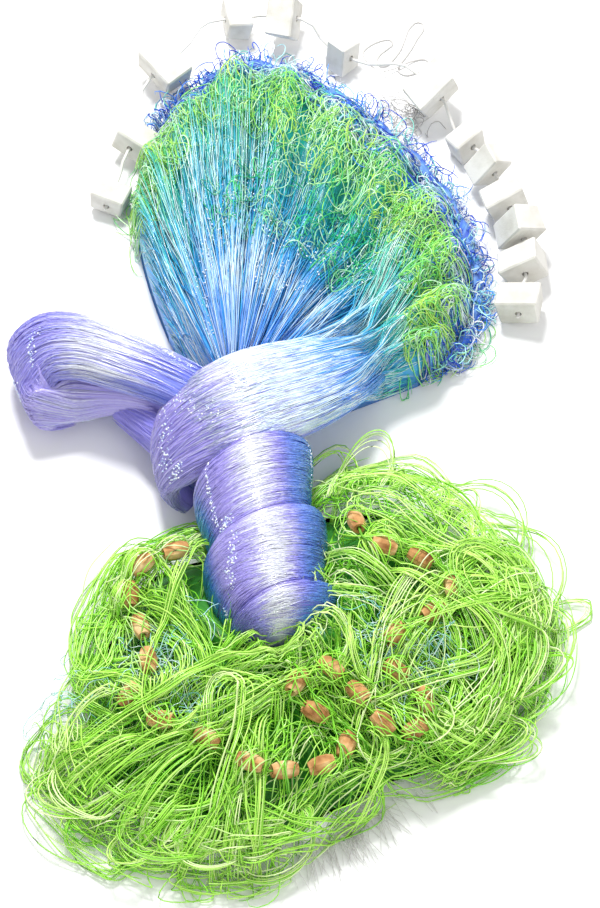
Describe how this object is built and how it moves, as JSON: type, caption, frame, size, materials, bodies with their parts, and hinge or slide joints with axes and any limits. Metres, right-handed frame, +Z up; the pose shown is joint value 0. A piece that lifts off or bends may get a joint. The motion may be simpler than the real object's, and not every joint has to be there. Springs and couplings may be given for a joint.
{
  "type": "gathered trammel fishing net",
  "caption": "Fishing net gathered, knotted and wound on itself, with a fanned head of foam floats on cord and a heaped foot of mesh with clay sinkers.",
  "frame": {"origin": "on the floor under the middle of the hank, with its loose tie cord left out", "axes": "+Y from the heaped foot towards the float line, +X to the side the fan leans to, +Z up"},
  "size_m": [0.3929, 0.7384, 0.0874],
  "materials": {
    "inner_netting": "glossy nylon filament, lavender at the knot to blue and green at the head",
    "outer_wall_twine": "satin nylon twine, yellow green",
    "hanging_twine": "satin braided twine, deep blue",
    "headline_cord": "matte white cord",
    "leadline_cord": "matte green cord",
    "tie_cord": "matte white cord",
    "float_foam": "matte cut foam, off-white",
    "sinker_clay": "unglazed fired clay, orange brown"
  },
  "bodies": {
    "root": {"float_01": "float_foam", "float_02": "float_foam", "float_03": "float_foam", "float_04": "float_foam", "float_05": "float_foam", "float_06": "float_foam", "float_07": "float_foam", "float_08": "float_foam", "float_09": "float_foam", "float_10": "float_foam", "float_11": "float_foam", "float_12": "float_foam", "float_13": "float_foam", "hanging_twine": "hanging_twine", "headline": "headline_cord", "leadline": "leadline_cord", "netting": "inner_netting", "outer_walls_foot": "outer_wall_twine", "outer_walls_head": "outer_wall_twine", "sinker_01": "sinker_clay", "sinker_02": "sinker_clay", "sinker_03": "sinker_clay", "sinker_04": "sinker_clay", "sinker_05": "sinker_clay", "sinker_06": "sinker_clay", "sinker_07": "sinker_clay", "sinker_08": "sinker_clay", "sinker_09": "sinker_clay", "sinker_10": "sinker_clay", "sinker_11": "sinker_clay", "sinker_12": "sinker_clay", "sinker_13": "sinker_clay", "sinker_14": "sinker_clay", "sinker_15": "sinker_clay", "sinker_16": "sinker_clay", "sinker_17": "sinker_clay", "sinker_18": "sinker_clay", "sinker_19": "sinker_clay", "sinker_20": "sinker_clay", "sinker_21": "sinker_clay", "sinker_22": "sinker_clay", "sinker_23": "sinker_clay", "sinker_24": "sinker_clay", "sinker_25": "sinker_clay", "sinker_26": "sinker_clay", "tie_cord": "tie_cord"}
  },
  "joints": []
}
